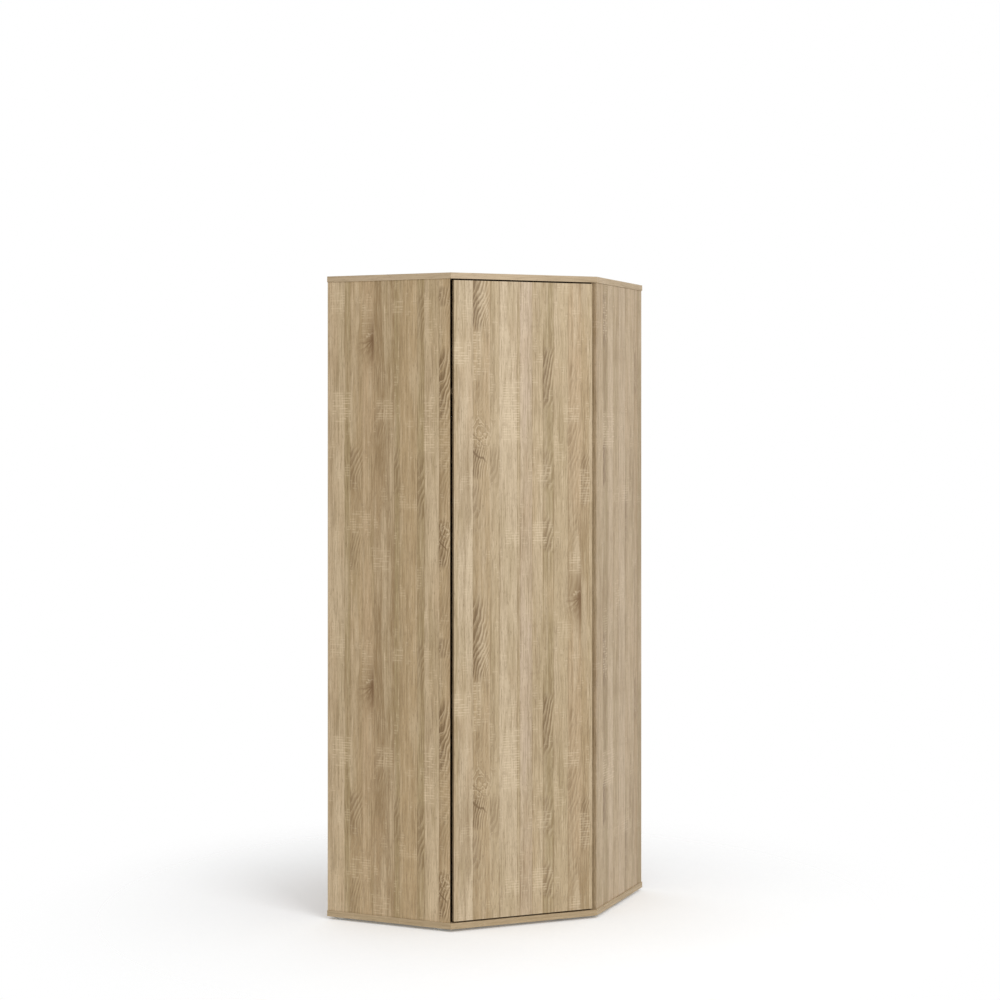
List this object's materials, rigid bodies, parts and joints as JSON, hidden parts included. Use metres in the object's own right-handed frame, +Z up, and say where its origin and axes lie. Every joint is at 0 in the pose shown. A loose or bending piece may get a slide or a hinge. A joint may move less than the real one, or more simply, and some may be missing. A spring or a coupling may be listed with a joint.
{
  "type": "corner wardrobe",
  "caption": "Tall corner wardrobe with its front corner cut off and a handleless door across it; hat shelf, clothes rail and concealed hinges inside.",
  "frame": {"origin": "on the floor, at the middle of the square that the two wall sides span (bounding box bottom centre)", "axes": "+Z up; -X is the left wall's side, +Y the right wall's side, and the door faces between +X and -Y"},
  "size_m": [0.767, 0.767, 2],
  "materials": {
    "oak_decor": "satin light oak print on melamine-faced chipboard",
    "back_board": "thin fibreboard, pale lacquered face",
    "bright_steel": "bright nickel plate",
    "zinc": "nickel-plated zinc and steel",
    "glide_plastic": "light grey moulded plastic",
    "catch_plastic": "brown moulded plastic"
  },
  "bodies": {
    "carcass": {"bottom_panel": "oak_decor", "cam_bolt_left_lower_front": "bright_steel", "cam_bolt_left_lower_rear": "bright_steel", "cam_bolt_left_upper_front": "bright_steel", "cam_bolt_left_upper_rear": "bright_steel", "cam_bolt_right_lower_front": "bright_steel", "cam_bolt_right_lower_rear": "bright_steel", "cam_bolt_right_upper_front": "bright_steel", "cam_bolt_right_upper_rear": "bright_steel", "cam_left_lower_front": "zinc", "cam_left_lower_rear": "zinc", "cam_left_upper_front": "zinc", "cam_left_upper_rear": "zinc", "cam_right_lower_front": "zinc", "cam_right_lower_rear": "zinc", "cam_right_upper_front": "zinc", "cam_right_upper_rear": "zinc", "clothes_rail": "bright_steel", "door_catch": "catch_plastic", "glide_left_front": "glide_plastic", "glide_left_rear": "glide_plastic", "glide_rear_corner": "glide_plastic", "glide_right_front": "glide_plastic", "glide_right_rear": "glide_plastic", "hat_shelf": "oak_decor", "hinge_arm_1": "zinc", "hinge_arm_2": "zinc", "hinge_arm_3": "zinc", "hinge_arm_4": "zinc", "hinge_plate_1": "zinc", "hinge_plate_2": "zinc", "hinge_plate_3": "zinc", "hinge_plate_4": "zinc", "left_back_panel": "back_board", "left_side_panel": "oak_decor", "rail_hanger_left": "bright_steel", "rail_hanger_right": "bright_steel", "rear_corner_stile": "oak_decor", "right_back_panel": "back_board", "right_side_panel": "oak_decor", "shelf_peg_left_front": "bright_steel", "shelf_peg_left_rear": "bright_steel", "shelf_peg_rear_corner": "bright_steel", "shelf_peg_right_front": "bright_steel", "shelf_peg_right_rear": "bright_steel", "top_panel": "oak_decor"},
    "door": {"door_panel": "oak_decor", "strike_plate": "bright_steel", "hinge_cup_1": "zinc", "hinge_cup_2": "zinc", "hinge_cup_3": "zinc", "hinge_cup_4": "zinc", "hinge_pin_1": "bright_steel", "hinge_pin_2": "bright_steel", "hinge_pin_3": "bright_steel", "hinge_pin_4": "bright_steel"}
  },
  "joints": [
    {"name": "door_swing", "type": "hinge", "parent": "carcass", "child": "door", "pos_m": [0.35309, -0.05323, 1], "axis": [0, 0, 1], "range_deg": [0, 90]}
  ]
}
